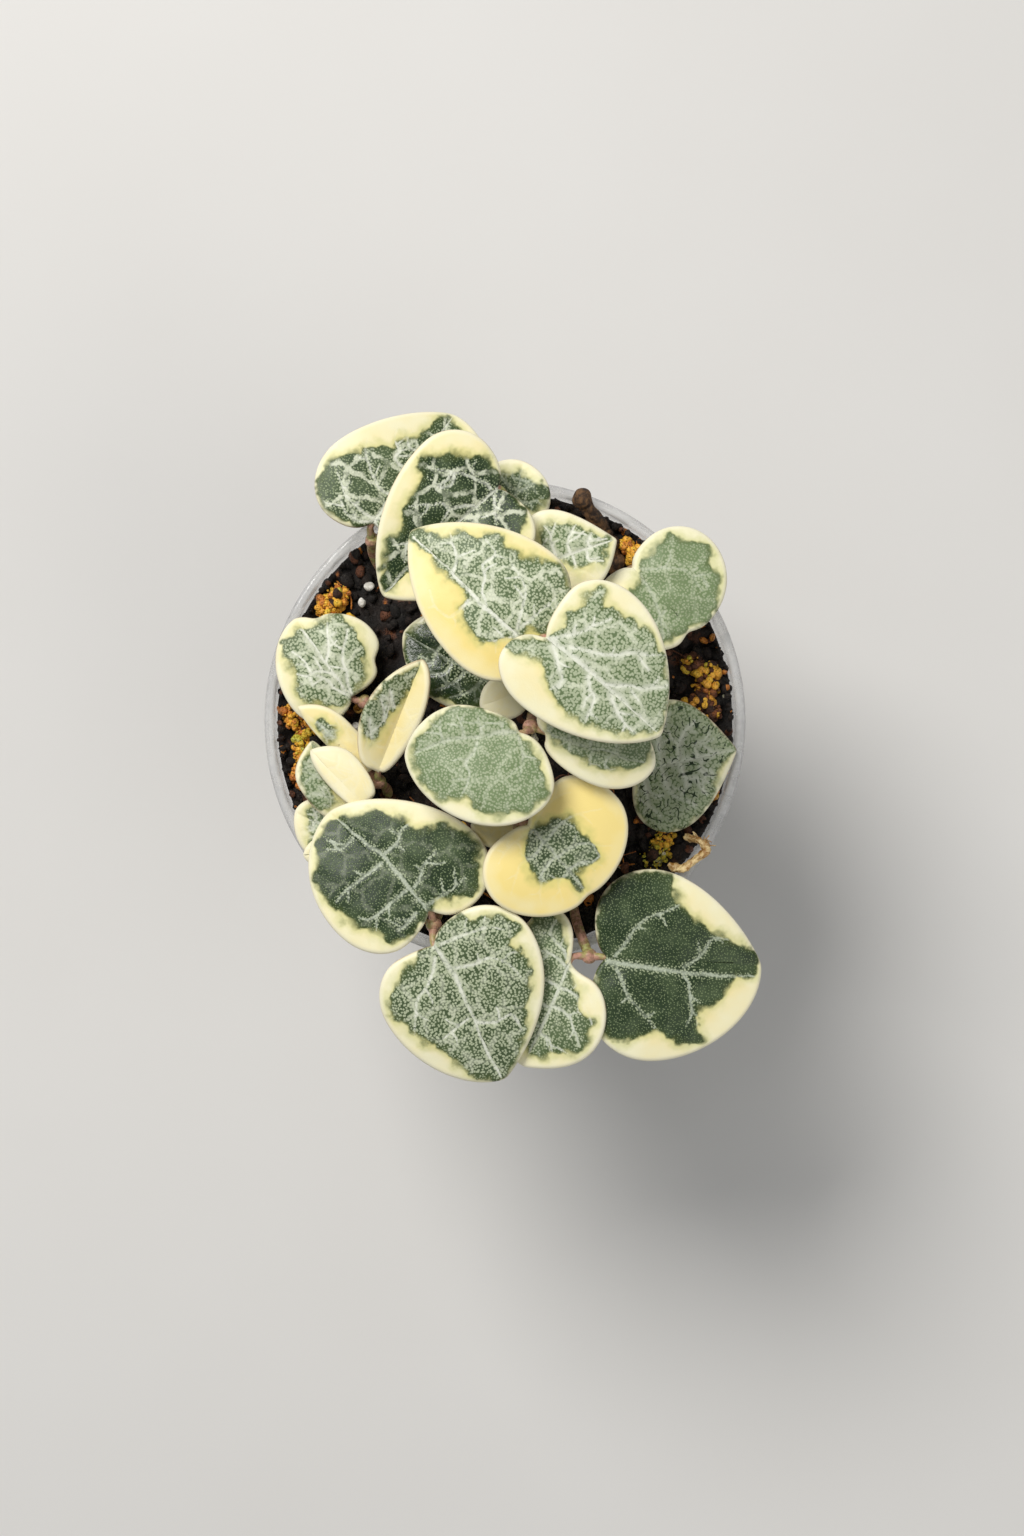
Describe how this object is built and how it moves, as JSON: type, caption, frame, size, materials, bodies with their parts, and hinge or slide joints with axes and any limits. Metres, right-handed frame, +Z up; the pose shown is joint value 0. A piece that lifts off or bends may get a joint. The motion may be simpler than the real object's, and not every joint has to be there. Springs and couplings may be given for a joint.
{
  "type": "potted variegated string of hearts",
  "caption": "Small clear nursery pot filled with dark potting mix, with short stems that carry thick heart-shaped leaves in green and silver with cream margins, reaching out over the rim.",
  "frame": {"origin": "centre of the pot's flat base, on the surface it stands on", "axes": "+Z up along the pot's axis; +Y towards the back, where the highest leaves overhang; +X to the right, seen from above"},
  "size_m": [0.0566, 0.076, 0.0688],
  "materials": {
    "clear_plastic": "clear, slightly grey moulded plastic",
    "potting_mix": "crumbly black-brown mix with golden granules",
    "variegated_leaf": "waxy leaf, green and silver with cream margins",
    "mix_crumb": "matt orange-brown granules",
    "moss": "matt yellow-green moss and crumbs",
    "bark": "rough dark bark",
    "dry_root": "dry wrinkled root skin",
    "fertiliser_coat": "satin resin coat",
    "perlite": "matt porous white grain"
  },
  "bodies": {
    "root": {"pot": "clear_plastic", "soil": "potting_mix", "stem_back_left": "variegated_leaf", "stem_back": "variegated_leaf", "stem_crown": "variegated_leaf", "stem_far_right": "variegated_leaf", "stem_under_crown": "variegated_leaf", "stem_dark": "variegated_leaf", "stem_left": "variegated_leaf", "stem_left_pair": "variegated_leaf", "stem_left_bud": "variegated_leaf", "stem_edge": "variegated_leaf", "stem_front_left": "variegated_leaf", "stem_middle": "variegated_leaf", "stem_right": "variegated_leaf", "stem_front_cream": "variegated_leaf", "stem_front": "variegated_leaf", "crust_left": "mix_crumb", "crust_upper_left": "mix_crumb", "crust_upper_right": "mix_crumb", "crust_right": "mix_crumb", "crust_right_rim": "mix_crumb", "moss_lower_right": "moss", "bark": "bark", "root_strip": "dry_root", "fertiliser_shell": "fertiliser_coat", "perlite_1": "perlite", "perlite_2": "perlite", "perlite_3": "perlite"}
  },
  "joints": []
}
